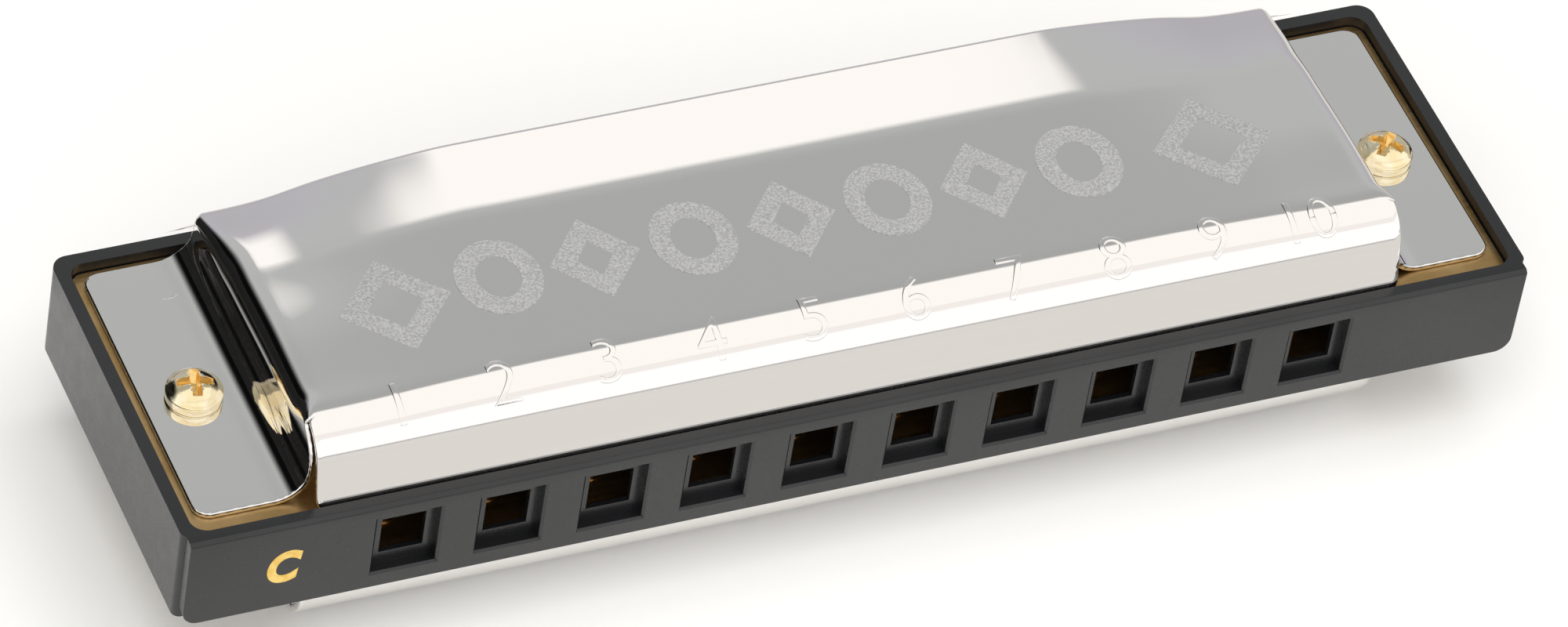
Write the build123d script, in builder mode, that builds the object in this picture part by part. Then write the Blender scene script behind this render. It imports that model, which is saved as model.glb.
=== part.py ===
"""A ten-hole diatonic harmonica as separate pieces.

Millimetres. X runs along the row of holes, the mouthpiece faces -Y and +Z is up.
The origin is under the middle of the instrument, level with the lowest point of the bottom cover.
Depths are measured back from the mouthpiece face and heights from the comb's mid-plane.
"""

import os

from build123d import *

os.makedirs("parts", exist_ok=True)

# Comb
comb_length = 99.5
comb_depth = 27.8
comb_height = 7.74
comb_rear_corner = 1.2
comb_front_corner = 0.6
panel_length = 98.9
panel_proud = 0.85
panel_top_round = 0.35
panel_end_round = 1.2
rim_thickness = 0.95
tray_front = 1.07
tray_rear = 26.8
tray_corner = 1.2
core_half = 2.1

# Air holes and the chambers behind them
hole_count = 10
hole_pitch = 7.5
hole_width = 4.95
hole_height = 5.5
hole_bevel = 0.17
hole_bevel_angle = 45
recess_depth = 0.9
opening_width = 3.17
opening_height = 3.16
opening_depth = 1.3
chamber_width = 5.2

# Reed plates
plate_thickness = 0.9
plate_gap = 0.08
plate_corner = 1.1

# Reeds: the longest sounds hole 1, the shortest hole 10
reed_width = 2.0
reed_thickness = 0.25
longest_reed = 16.4
reed_step = 0.6
reed_front = 3.3
slot_side_gap = 0.06
slot_tip_gap = 0.08
slot_root_overlap = 0.15
root_gap = 0.04
pad_width = 2.9
pad_length = 3.0
chamber_rear_gap = 0.7

# Rivets
rivet_bore = 1.5
rivet_shank = 1.46
rivet_head = 2.3
rivet_head_height = 0.35
rivet_tail_height = 0.3
rivet_head_taper = 30

# Reed plate screws
plate_screw_shank = 1.3
plate_screw_bore = 1.5
plate_screw_head = 2.6
plate_screw_head_height = 0.6
plate_screw_grip = 1.7
plate_screw_slot_width = 0.4
plate_screw_slot_depth = 0.3
plate_screw_rear_depth = 24.9
plate_screw_front_depth = 4.6
plate_screw_rear_reach = 30.0
plate_screw_front_reach = 22.5

# Covers
sheet = 0.4
wall_foot_depth = 1.2
wall_top_depth = 2.05
wall_top_height = 6.6
end_face = 40.3
end_round = 1.8
# The end rounding in three steps: how far out and how far down, as shares of its radius.
end_round_steps = ((0.5, 0.134), (0.866, 0.5), (1.0, 1.0))
bend_radius = 2.2
flange_reach = 48.0
flange_front = 2.8
flange_rear = 26.15
flange_corner = 1.2
rear_foot_depth = 26.7

# Cover screws and nuts
cover_screw_reach = 44.45
cover_screw_depth = 13.35
cover_screw_shank = 2.4
cover_screw_bore = 2.7
cover_screw_head = 4.0
cover_screw_head_side = 0.9
cover_screw_head_height = 1.65
cross_span = 2.6
cross_width = 0.66
cross_depth = 0.85
cross_taper = 12
left_cross_turn = -12.0
right_cross_turn = -44.0
nut_across_flats = 3.8
nut_height = 1.6
screw_tail = 0.4

# Cover heights above the comb's mid-plane: (reach from the middle, shoulder, ridge depth,
# ridge, rear edge depth, rear edge). The arch at the rear is highest over the middle holes.
middle_shape = (24.0, 9.62, 18.8, 10.3, 25.6, 9.7)
arch_shape = (31.5, 9.45, 18.6, 9.95, 25.5, 8.7)
end_shape = (38.5, 9.25, 18.4, 9.4, 25.35, 7.6)
shoulder_depth = 5.5

cover_rise = middle_shape[3]
plate_face = core_half + plate_thickness
flange_face = plate_face + sheet
half_height = comb_height / 2
front = -comb_depth / 2


def y_at(depth):
    return front + depth


def z_at(height):
    return cover_rise + height


def hole_x(number):
    return hole_pitch * (number - (hole_count + 1) / 2)


def reed_length(number):
    return longest_reed - reed_step * (number - 1)


def chamber_rear(number):
    return reed_front + reed_length(number) + root_gap + pad_length + chamber_rear_gap


def save(part, name):
    part.label = name
    export_step(part, f"parts/{name}.step")


def blow_pad_depth(number):
    """Middle of a blow reed's root pad, which is riveted behind the tongue."""
    return reed_front + reed_length(number) + root_gap + pad_length / 2


def draw_pad_depth():
    """Middle of a draw reed's root pad, which is riveted in front of the tongue."""
    return reed_front + pad_length / 2


def draw_tongue_front():
    return reed_front + pad_length + root_gap


# Five screws hold each plate: three behind the chambers and two in the dividers between holes.
plate_screw_places = [(side * plate_screw_rear_reach, plate_screw_rear_depth) for side in (-1, 0, 1)]
plate_screw_places += [(side * plate_screw_front_reach, plate_screw_front_depth) for side in (-1, 1)]
cover_screw_places = [(side * cover_screw_reach, cover_screw_depth) for side in (-1, 1)]


def points(places):
    return [(x, y_at(depth)) for x, depth in places]


# Comb: end walls and back wall, with the mouthpiece panel standing proud of the end walls.
with BuildPart() as comb:
    with BuildSketch(Plane.XY.offset(z_at(-half_height))):
        with Locations((0, y_at((panel_proud + comb_depth) / 2))):
            Rectangle(comb_length, comb_depth - panel_proud)
        fillet(vertices().group_by(Axis.Y)[-1], comb_rear_corner)
        fillet(vertices().group_by(Axis.Y)[0], comb_front_corner)
    extrude(amount=comb_height)
    with BuildSketch(Plane.XZ.offset(-front)):
        with Locations((0, z_at(0))):
            Rectangle(panel_length, comb_height)
        fillet(vertices().group_by(Axis.Y)[0], panel_end_round)
    extrude(amount=-panel_proud - tray_front)
    panel_top = edges().filter_by(Axis.X).group_by(Axis.Y)[0].sort_by(Axis.Z)[-1]
    fillet(panel_top, panel_top_round)
    # A tray on each side takes a reed plate.
    for side in (-1, 1):
        with BuildSketch(Plane.XY.offset(z_at(side * core_half))):
            with Locations((0, y_at((tray_front + tray_rear) / 2))):
                RectangleRounded(comb_length - 2 * rim_thickness, tray_rear - tray_front, tray_corner)
        extrude(amount=side * comb_height, mode=Mode.SUBTRACT)
    for number in range(1, hole_count + 1):
        # Each hole is bevelled at its mouth and recessed, then steps in to a smaller opening.
        with BuildSketch(Plane.XZ.offset(-front)):
            with Locations((hole_x(number), z_at(0))):
                Rectangle(hole_width, hole_height)
        extrude(amount=-hole_bevel, taper=hole_bevel_angle, mode=Mode.SUBTRACT)
        with BuildSketch(Plane.XZ.offset(-y_at(hole_bevel))):
            with Locations((hole_x(number), z_at(0))):
                Rectangle(hole_width - 2 * hole_bevel, hole_height - 2 * hole_bevel)
        extrude(amount=hole_bevel - recess_depth, mode=Mode.SUBTRACT)
        with BuildSketch(Plane.XZ.offset(-y_at(recess_depth))):
            with Locations((hole_x(number), z_at(0))):
                Rectangle(opening_width, opening_height)
        extrude(amount=recess_depth - opening_depth, mode=Mode.SUBTRACT)
        # The chamber is open to both reed plates.
        with BuildSketch(Plane.XY.offset(z_at(-core_half))):
            with Locations((hole_x(number), y_at((opening_depth + chamber_rear(number)) / 2))):
                Rectangle(chamber_width, chamber_rear(number) - opening_depth)
        extrude(amount=2 * core_half, mode=Mode.SUBTRACT)
    with BuildSketch(Plane.XY.offset(z_at(-core_half))):
        with Locations(*points(cover_screw_places)):
            Circle(cover_screw_bore / 2)
    extrude(amount=2 * core_half, mode=Mode.SUBTRACT)
    for side in (-1, 1):
        with BuildSketch(Plane.XY.offset(z_at(side * core_half))):
            with Locations(*points(plate_screw_places)):
                Circle(plate_screw_shank / 2)
        extrude(amount=-side * plate_screw_grip, mode=Mode.SUBTRACT)
save(comb.part, "comb")


def reed_plate(side, slot_depths, pad_depths, name):
    """One brass plate. side is +1 for the plate above the comb and -1 for the one below."""
    with BuildPart() as plate:
        with BuildSketch(Plane.XY.offset(z_at(side * core_half))):
            with Locations((0, y_at((tray_front + tray_rear) / 2))):
                RectangleRounded(
                    comb_length - 2 * rim_thickness - 2 * plate_gap,
                    tray_rear - tray_front - 2 * plate_gap,
                    plate_corner,
                )
            for number in range(1, hole_count + 1):
                slot_front, slot_rear = slot_depths(number)
                with Locations((hole_x(number), y_at((slot_front + slot_rear) / 2))):
                    Rectangle(reed_width + 2 * slot_side_gap, slot_rear - slot_front, mode=Mode.SUBTRACT)
                with Locations((hole_x(number), y_at(pad_depths(number)))):
                    Circle(rivet_bore / 2, mode=Mode.SUBTRACT)
            with Locations(*points(cover_screw_places)):
                Circle(cover_screw_bore / 2, mode=Mode.SUBTRACT)
            with Locations(*points(plate_screw_places)):
                Circle(plate_screw_bore / 2, mode=Mode.SUBTRACT)
        extrude(amount=side * plate_thickness)
    save(plate.part, name)


def blow_slot(number):
    return reed_front - slot_tip_gap, reed_front + reed_length(number) + slot_root_overlap


def draw_slot(number):
    tongue_front = draw_tongue_front()
    return tongue_front - slot_root_overlap, tongue_front + reed_length(number) + slot_tip_gap


def draw_pad_depths(number):
    return draw_pad_depth()


reed_plate(1, blow_slot, blow_pad_depth, "top_reed_plate")
reed_plate(-1, draw_slot, draw_pad_depths, "bottom_reed_plate")

# Blow reeds lie under the top plate inside the chambers, draw reeds under the bottom plate.
blow_reed_top = z_at(core_half)
draw_reed_top = z_at(-plate_face)

for number in range(1, hole_count + 1):
    with BuildPart() as blow_reed:
        with BuildSketch(Plane.XY.offset(blow_reed_top - reed_thickness)):
            with Locations((hole_x(number), y_at(reed_front + reed_length(number) / 2))):
                Rectangle(reed_width, reed_length(number))
        extrude(amount=reed_thickness)
    save(blow_reed.part, f"blow_reed_{number}")
    with BuildPart() as draw_reed:
        with BuildSketch(Plane.XY.offset(draw_reed_top - reed_thickness)):
            with Locations((hole_x(number), y_at(draw_tongue_front() + reed_length(number) / 2))):
                Rectangle(reed_width, reed_length(number))
        extrude(amount=reed_thickness)
    save(draw_reed.part, f"draw_reed_{number}")


def root_pads(top, pad_depths, name):
    """The ten wide roots of one set of reeds, each bored for its rivet."""
    with BuildPart() as pads:
        with BuildSketch(Plane.XY.offset(top - reed_thickness)):
            for number in range(1, hole_count + 1):
                with Locations((hole_x(number), y_at(pad_depths(number)))):
                    Rectangle(pad_width, pad_length)
                    Circle(rivet_bore / 2, mode=Mode.SUBTRACT)
        extrude(amount=reed_thickness)
    save(pads.part, name)


root_pads(blow_reed_top, blow_pad_depth, "blow_reed_roots")
root_pads(draw_reed_top, draw_pad_depths, "draw_reed_roots")


def rivets(upper_face, lower_face, upper_head, lower_head, pad_depths, name):
    """Ten rivets with a head on each side of the plate and reed root."""
    with BuildPart() as rivet_set:
        for number in range(1, hole_count + 1):
            place = (hole_x(number), y_at(pad_depths(number)))
            with BuildSketch(Plane.XY.offset(lower_face)):
                with Locations(place):
                    Circle(rivet_shank / 2)
            extrude(amount=upper_face - lower_face)
            with BuildSketch(Plane.XY.offset(upper_face)):
                with Locations(place):
                    Circle(rivet_head / 2)
            extrude(amount=upper_head, taper=rivet_head_taper)
            with BuildSketch(Plane.XY.offset(lower_face)):
                with Locations(place):
                    Circle(rivet_head / 2)
            extrude(amount=-lower_head, taper=rivet_head_taper)
    save(rivet_set.part, name)


rivets(
    z_at(plate_face),
    blow_reed_top - reed_thickness,
    rivet_head_height,
    rivet_tail_height,
    blow_pad_depth,
    "blow_rivets",
)
rivets(
    z_at(-core_half),
    draw_reed_top - reed_thickness,
    rivet_tail_height,
    rivet_head_height,
    draw_pad_depths,
    "draw_rivets",
)


def plate_screws(side, name):
    """Five slotted pan-head screws through one reed plate into the comb."""
    with BuildPart() as screws:
        with BuildSketch(Plane.XY.offset(z_at(side * plate_face))):
            with Locations(*points(plate_screw_places)):
                Circle(plate_screw_head / 2)
        extrude(amount=side * plate_screw_head_height)
        with BuildSketch(Plane.XY.offset(z_at(side * plate_face))):
            with Locations(*points(plate_screw_places)):
                Circle(plate_screw_shank / 2)
        extrude(amount=-side * (plate_thickness + plate_screw_grip))
        with BuildSketch(Plane.XY.offset(z_at(side * (plate_face + plate_screw_head_height)))):
            with Locations(*points(plate_screw_places)):
                Rectangle(plate_screw_head, plate_screw_slot_width)
        extrude(amount=-side * plate_screw_slot_depth, mode=Mode.SUBTRACT)
    save(screws.part, name)


plate_screws(1, "top_plate_screws")
plate_screws(-1, "bottom_plate_screws")


def slide(shape, drop):
    """A cover section lowered by drop, as the rounded ends of the cover need."""
    reach, shoulder, ridge_depth, ridge, rear_depth, rear = shape
    return reach, shoulder - drop, ridge_depth, ridge - drop, rear_depth, rear - drop


def cover_section(side, reach, shape, drop, inset):
    """One section of the cover, looking along X, with its face moved in by inset."""
    _, shoulder, ridge_depth, ridge, rear_depth, rear = slide(shape, drop)
    wall_top = wall_top_height - drop
    wall_lean = (wall_top_depth - wall_foot_depth) * (wall_top - plate_face) / (wall_top_height - plate_face)
    foot = plate_face - inset
    # The inner face runs on past the outer one at the rear, so the cover is open there.
    tail = 2 * inset
    with BuildSketch(Plane.YZ.offset(reach)) as section:
        with BuildLine():
            wall = Line(
                (y_at(wall_foot_depth + inset), z_at(side * foot)),
                (y_at(wall_foot_depth + wall_lean + inset), z_at(side * (wall_top - inset / 2))),
            )
            bend = TangentArc(
                wall @ 1,
                (y_at(shoulder_depth), z_at(side * (shoulder - inset))),
                tangent=wall % 1,
            )
            face = Line(bend @ 1, (y_at(ridge_depth), z_at(side * (ridge - inset))))
            bevel = Line(face @ 1, (y_at(rear_depth + tail), z_at(side * (rear - inset))))
            rear_line = Line(bevel @ 1, (y_at(rear_foot_depth + tail), z_at(side * foot)))
            Line(rear_line @ 1, wall @ 0)
        make_face()
    return section.sketch


def cover_sections(side, inset):
    """Sections under the cover's outer face (inset 0) or its inner face (inset the sheet)."""
    radius = end_round - inset
    rounding = [(end_shape[0] + out * radius, down * radius) for out, down in end_round_steps]
    stations = [(shape[0], shape, 0.0) for shape in (middle_shape, arch_shape, end_shape)]
    stations += [(reach, end_shape, drop) for reach, drop in rounding]
    sections = [cover_section(side, -reach, shape, drop, inset) for reach, shape, drop in reversed(stations)]
    sections += [cover_section(side, reach, shape, drop, inset) for reach, shape, drop in stations]
    return sections


def cover(side, name):
    """One cover. side is +1 for the cover above the comb and -1 for the one below."""
    inner_sections = cover_sections(side, sheet)
    outer_sections = cover_sections(side, 0.0)
    with BuildPart() as shell:
        loft(outer_sections, ruled=True)
        loft(inner_sections, ruled=True, mode=Mode.SUBTRACT)
        # Below the bends the end walls are open, and so are the front corners.
        bend_height = flange_face + bend_radius
        low_edge = plate_face - sheet
        for end in (-1, 1):
            with BuildSketch(Plane.XZ.offset(-y_at(flange_front - sheet))):
                with Locations((end * end_face, z_at(side * (low_edge + bend_height) / 2))):
                    Rectangle(3 * sheet, bend_height - low_edge)
            extrude(amount=-comb_depth, mode=Mode.SUBTRACT)
            with BuildSketch(Plane.YZ.offset(end * (end_face - 1.5 * sheet))):
                with BuildLine():
                    Polyline(
                        (y_at(wall_foot_depth + sheet), z_at(side * low_edge)),
                        (y_at(wall_top_depth + sheet), z_at(side * wall_top_height)),
                        (y_at(flange_front), z_at(side * (wall_top_height + sheet))),
                        (y_at(flange_front), z_at(side * low_edge)),
                        close=True,
                    )
                make_face()
            extrude(amount=end * 3 * sheet, mode=Mode.SUBTRACT)
            # The sheet bends out to a flat flange for the screw.
            bend_middle = end * (end_face + bend_radius)
            outer = bend_radius + sheet
            with BuildSketch(Plane.XZ.offset(-y_at(flange_front))):
                with BuildLine():
                    inside = RadiusArc(
                        (end * end_face, z_at(side * bend_height)),
                        (bend_middle, z_at(side * flange_face)),
                        end * side * bend_radius,
                    )
                    top = Line(inside @ 1, (end * flange_reach, z_at(side * flange_face)))
                    tip = Line(top @ 1, (end * flange_reach, z_at(side * plate_face)))
                    under = Line(tip @ 1, (bend_middle, z_at(side * plate_face)))
                    outside = RadiusArc(
                        under @ 1,
                        (end * (end_face - sheet), z_at(side * bend_height)),
                        -end * side * outer,
                    )
                    Line(outside @ 1, inside @ 0)
                make_face()
            extrude(amount=-(flange_rear - flange_front))
        corners = edges().filter_by(Axis.Z).filter_by(lambda e: abs(e.center().X) > flange_reach - sheet)
        fillet(corners, flange_corner)
        with BuildSketch(Plane.XY.offset(z_at(side * plate_face))):
            with Locations(*points(cover_screw_places)):
                Circle(cover_screw_bore / 2)
        extrude(amount=side * sheet, mode=Mode.SUBTRACT)
    save(shell.part, name)


cover(1, "top_cover")
cover(-1, "bottom_cover")


def cover_screw(place, turn, name):
    """A pan-head screw with a cross recess, long enough to reach its nut under the bottom cover."""
    with BuildPart() as screw:
        with BuildSketch(Plane.XY.offset(z_at(flange_face))):
            with Locations(place):
                Circle(cover_screw_head / 2)
        extrude(amount=cover_screw_head_height)
        crown = edges().group_by(Axis.Z)[-1]
        fillet(crown, cover_screw_head_height - cover_screw_head_side)
        with BuildSketch(Plane.XY.offset(z_at(flange_face))):
            with Locations(place):
                Circle(cover_screw_shank / 2)
        extrude(amount=-(2 * flange_face + nut_height + screw_tail))
        with BuildSketch(Plane.XY.offset(z_at(flange_face + cover_screw_head_height))):
            with Locations(Location(place, turn)):
                Rectangle(cross_span, cross_width)
                Rectangle(cross_width, cross_span)
        extrude(amount=-cross_depth, taper=cross_taper, mode=Mode.SUBTRACT)
    save(screw.part, name)


def cover_nut(place, name):
    with BuildPart() as nut:
        with BuildSketch(Plane.XY.offset(z_at(-flange_face))):
            with Locations(place):
                RegularPolygon(nut_across_flats / 2, 6, major_radius=False, rotation=30)
                Circle(cover_screw_shank / 2, mode=Mode.SUBTRACT)
        extrude(amount=-nut_height)
    save(nut.part, name)


left_place, right_place = points(cover_screw_places)
cover_screw(left_place, left_cross_turn, "cover_screw_left")
cover_screw(right_place, right_cross_turn, "cover_screw_right")
cover_nut(left_place, "cover_nut_left")
cover_nut(right_place, "cover_nut_right")
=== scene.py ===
"""The looks of a ten-hole harmonica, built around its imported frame.

X runs along the row of holes, the mouthpiece faces -Y and +Z is up. Sizes in the lists are in
millimetres: depths are measured back from the mouthpiece face and heights from the comb's mid-plane.
"""

import math

import bmesh
import bpy
import numpy as np
from mathutils import Matrix, Vector


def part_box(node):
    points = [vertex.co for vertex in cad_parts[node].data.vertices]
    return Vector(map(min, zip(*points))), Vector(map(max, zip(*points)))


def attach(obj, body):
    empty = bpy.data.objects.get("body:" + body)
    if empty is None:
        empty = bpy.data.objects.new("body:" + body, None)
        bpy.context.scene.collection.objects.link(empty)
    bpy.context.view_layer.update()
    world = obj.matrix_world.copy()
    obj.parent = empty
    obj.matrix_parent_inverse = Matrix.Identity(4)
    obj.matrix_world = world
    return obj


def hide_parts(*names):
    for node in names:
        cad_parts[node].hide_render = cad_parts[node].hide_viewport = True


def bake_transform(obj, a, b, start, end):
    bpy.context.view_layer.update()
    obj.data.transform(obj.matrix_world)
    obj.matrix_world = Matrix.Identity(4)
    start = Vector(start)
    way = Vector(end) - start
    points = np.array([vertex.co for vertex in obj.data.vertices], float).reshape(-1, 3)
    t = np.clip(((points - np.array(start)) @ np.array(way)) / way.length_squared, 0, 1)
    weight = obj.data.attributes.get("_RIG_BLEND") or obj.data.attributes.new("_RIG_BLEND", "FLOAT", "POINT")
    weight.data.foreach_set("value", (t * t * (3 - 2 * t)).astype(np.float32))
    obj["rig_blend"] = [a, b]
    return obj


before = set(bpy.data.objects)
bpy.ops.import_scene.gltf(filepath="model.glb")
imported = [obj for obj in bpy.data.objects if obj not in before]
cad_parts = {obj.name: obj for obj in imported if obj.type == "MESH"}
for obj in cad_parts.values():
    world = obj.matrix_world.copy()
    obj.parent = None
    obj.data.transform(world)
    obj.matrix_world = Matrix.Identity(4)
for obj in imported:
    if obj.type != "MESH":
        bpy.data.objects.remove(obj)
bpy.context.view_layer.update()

MM = 0.001
comb_low, comb_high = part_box("comb")
FRONT = comb_low.y
MIDDLE = (comb_low.z + comb_high.z) / 2
TOP_PLATE_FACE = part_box("top_reed_plate")[1].z
BOTTOM_PLATE_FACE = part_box("bottom_reed_plate")[0].z
PLATE_HEIGHT = (TOP_PLATE_FACE - MIDDLE) / MM
HOLES = range(1, 11)


def place(x, depth, height):
    """A point in the frame, in metres, from its place in millimetres."""
    return Vector((x * MM, FRONT + depth * MM, MIDDLE + height * MM))


def hole_x(number):
    low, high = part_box(f"blow_reed_{number}")
    return (low.x + high.x) / 2 / MM


# ---------------------------------------------------------------- small tools for nodes and meshes


def paint(hex_colour):
    """A linear colour from an sRGB hex value."""
    parts = [int(hex_colour[i : i + 2], 16) / 255 for i in (1, 3, 5)]
    return tuple(p / 12.92 if p <= 0.04045 else ((p + 0.055) / 1.055) ** 2.4 for p in parts) + (1.0,)


def add(tree, kind, links=None, **settings):
    """Adds a node. links gives each input, by name or number, a value, a node or one of its outputs."""
    made = tree.nodes.new(kind)
    for name, value in settings.items():
        setattr(made, name, value)
    for key, value in (links or {}).items():
        if isinstance(value, bpy.types.Node):
            value = value.outputs[0]
        if isinstance(value, bpy.types.NodeSocket):
            tree.links.new(value, made.inputs[key])
        else:
            made.inputs[key].default_value = value
    return made


def ramp(tree, factor, stops, interpolation="EASE"):
    """Colours at stops along a factor. The stops aren't settings, so they are filled in here."""
    made = add(tree, "ShaderNodeValToRGB", {0: factor})
    made.color_ramp.interpolation = interpolation
    points = made.color_ramp.elements
    while len(points) < len(stops):
        points.new(0.5)
    for point, (position, colour) in zip(points, stops):
        point.position = position
        point.color = paint(colour) if isinstance(colour, str) else (colour, colour, colour, 1.0)
    return made.outputs[0]


def finish_named(name, base, metallic, roughness, **sockets):
    """A material with its shader. Returns the material, its tree and the shader."""
    material = bpy.data.materials.new(name)
    material.use_nodes = True
    tree = material.node_tree
    shader = tree.nodes["Principled BSDF"]
    shader.inputs["Base Color"].default_value = paint(base)
    shader.inputs["Metallic"].default_value = metallic
    shader.inputs["Roughness"].default_value = roughness
    for socket, value in sockets.items():
        shader.inputs[socket.replace("_", " ")].default_value = value
    return material, tree, shader


def pattern(tree, size, stretch=(1, 1, 1), detail=2.0):
    """Noise whose lumps are size millimetres across, on the piece's own coordinates."""
    coordinates = add(tree, "ShaderNodeTexCoord").outputs["Object"]
    turned = add(tree, "ShaderNodeMapping", {"Vector": coordinates, "Scale": stretch})
    noise = add(
        tree,
        "ShaderNodeTexNoise",
        {"Vector": turned.outputs[0], "Scale": 1 / (size * MM), "Detail": detail},
    )
    return noise.outputs[0]


def uneven_gloss(tree, shader, grain, low, high):
    """Roughness from low to high over the middle of the grain's range."""
    spread = add(tree, "ShaderNodeMapRange", {0: grain, 1: 0.3, 2: 0.7, 3: low, 4: high})
    tree.links.new(spread.outputs[0], shader.inputs["Roughness"])


def relief(tree, shader, height, depth):
    """Bumps depth millimetres deep."""
    bump = add(tree, "ShaderNodeBump", {"Height": height, "Distance": depth * MM, "Strength": 1.0})
    tree.links.new(bump.outputs[0], shader.inputs["Normal"])


def mesh_object(name, mesh):
    made = bpy.data.objects.new(name, mesh)
    bpy.context.scene.collection.objects.link(made)
    return made


def mesh_from(name, vertices, faces):
    mesh = bpy.data.meshes.new(name)
    mesh.from_pydata([tuple(v) for v in vertices], [], faces)
    mesh.update()
    return mesh_object(name, mesh)


def applied(made):
    """The object's shape with its modifiers applied, as a plain mesh on the same object."""
    bpy.context.view_layer.update()
    evaluated = made.evaluated_get(bpy.context.evaluated_depsgraph_get())
    mesh = bpy.data.meshes.new_from_object(evaluated)
    made.modifiers.clear()
    made.data = mesh
    return made


def cut_away(made, tool, materials="INDEX"):
    """Cuts the tool's shape out of a piece. TRANSFER gives the cut faces the tool's material."""
    cut = made.modifiers.new("cut", "BOOLEAN")
    cut.object = tool
    cut.operation = "DIFFERENCE"
    cut.solver = "EXACT"
    cut.material_mode = materials
    applied(made)
    bpy.data.objects.remove(tool)


def rectangle(left, right, near, far, height=0.0):
    """The corners of a level rectangle."""
    return [(left, near, height), (right, near, height), (right, far, height), (left, far, height)]


def smoothed(made, angle=35):
    made.data.shade_smooth()
    made.data.set_sharp_from_angle(angle=math.radians(angle))
    return made


def rounded_edges(made, width, angle=40, segments=2, clamp=False):
    bevel = made.modifiers.new("edges", "BEVEL")
    bevel.width = width * MM
    bevel.segments = segments
    bevel.limit_method = "ANGLE"
    bevel.angle_limit = math.radians(angle)
    bevel.use_clamp_overlap = clamp
    bevel.harden_normals = True
    return made


def copy_of(node, name, edge=0.0):
    """A copy of a CAD node's mesh, merged, with its edges broken by edge millimetres."""
    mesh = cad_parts[node].data.copy()
    mesh.materials.clear()
    made = mesh_object(name, mesh)
    shape = bmesh.new()
    shape.from_mesh(mesh)
    bmesh.ops.remove_doubles(shape, verts=shape.verts, dist=0.002 * MM)
    bmesh.ops.dissolve_limit(shape, angle_limit=math.radians(0.5), verts=shape.verts, edges=shape.edges)
    shape.to_mesh(mesh)
    shape.free()
    for attribute in [a.name for a in mesh.attributes if a.name in ("sharp_face", "custom_normal")]:
        mesh.attributes.remove(mesh.attributes[attribute])
    smoothed(made)
    if edge:
        rounded_edges(made, edge, angle=50, clamp=True)
        applied(made)
    return made


def hand_over(made, material, slot, *nodes):
    """Gives a piece that stays with the instrument its finish, attaches it to the instrument and hides the
    CAD nodes it stands for.
    """
    if material is not None:
        made.data.materials.clear()
        made.data.materials.append(material)
    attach(made, "instrument")
    if nodes:
        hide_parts(*nodes)
    return made


def geometry_tree(name, inputs):
    """A geometry node tree with a geometry input and the named inputs. Returns the tree, its
    input node and the identifiers of the named inputs."""
    tree = bpy.data.node_groups.new(name, "GeometryNodeTree")
    tree.interface.new_socket("Geometry", in_out="INPUT", socket_type="NodeSocketGeometry")
    tree.interface.new_socket("Geometry", in_out="OUTPUT", socket_type="NodeSocketGeometry")
    identifiers = {}
    for label, kind in inputs.items():
        socket = tree.interface.new_socket(label, in_out="INPUT", socket_type=f"NodeSocket{kind}")
        identifiers[label] = socket.identifier
    return tree, tree.nodes.new("NodeGroupInput").outputs, identifiers


def run_tree(made, tree, identifiers, values):
    """Runs a geometry node tree on an object with the named values, and keeps the plain mesh."""
    modifier = made.modifiers.new("made", "NODES")
    modifier.node_group = tree
    for label, value in values.items():
        modifier[identifiers[label]] = value
    return applied(made)


def end_tree(tree, geometry, material):
    """Realizes what a tree has made and gives it its material."""
    realized = add(tree, "GeometryNodeRealizeInstances", {"Geometry": geometry}).outputs[0]
    finished = add(tree, "GeometryNodeSetMaterial", {"Geometry": realized, "Material": material})
    out = tree.nodes.new("NodeGroupOutput")
    tree.links.new(finished.outputs[0], out.inputs[0])


# ---------------------------------------------------------------- camera

CAMERA_TARGET = place(0.0, 12.0, 0.0)
CAMERA_AZIMUTH = math.radians(-29.54)
CAMERA_ELEVATION = math.radians(44.64)
CAMERA_ROLL = math.radians(10.26)
CAMERA_DISTANCE = 684.06 * MM
CAMERA_LENS = 228.35
CAMERA_SHIFT = (-0.0121, 0.0062)

back = Vector(
    (
        math.sin(CAMERA_AZIMUTH) * math.cos(CAMERA_ELEVATION),
        -math.cos(CAMERA_AZIMUTH) * math.cos(CAMERA_ELEVATION),
        math.sin(CAMERA_ELEVATION),
    )
)
level = Vector((math.cos(CAMERA_AZIMUTH), math.sin(CAMERA_AZIMUTH), 0.0))
upright = back.cross(level)
right = math.cos(CAMERA_ROLL) * level + math.sin(CAMERA_ROLL) * upright
up = math.cos(CAMERA_ROLL) * upright - math.sin(CAMERA_ROLL) * level
camera_data = bpy.data.cameras.new("camera")
camera_data.sensor_width = 36.0
camera_data.lens = CAMERA_LENS
camera_data.shift_x, camera_data.shift_y = CAMERA_SHIFT
camera_data.clip_start = 0.05
camera_data.clip_end = 20.0
camera = bpy.data.objects.new("camera", camera_data)
bpy.context.scene.collection.objects.link(camera)
axes = Matrix((right, up, back)).transposed()
camera.matrix_world = Matrix.Translation(CAMERA_TARGET + back * CAMERA_DISTANCE) @ axes.to_4x4()
bpy.context.scene.camera = camera
bpy.context.scene.view_settings.view_transform = "Standard"

# ---------------------------------------------------------------- materials

# Bright chrome plate on stamped steel: a mirror whose long soft waves come from the stamping.
chrome, tree, shader = finish_named("polished_chrome_plate", "#f2f0ee", 1.0, 0.035)
uneven_gloss(tree, shader, pattern(tree, 6.0), 0.03, 0.05)
relief(tree, shader, pattern(tree, 5.0, (0.5, 1, 1)), 0.006)

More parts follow.
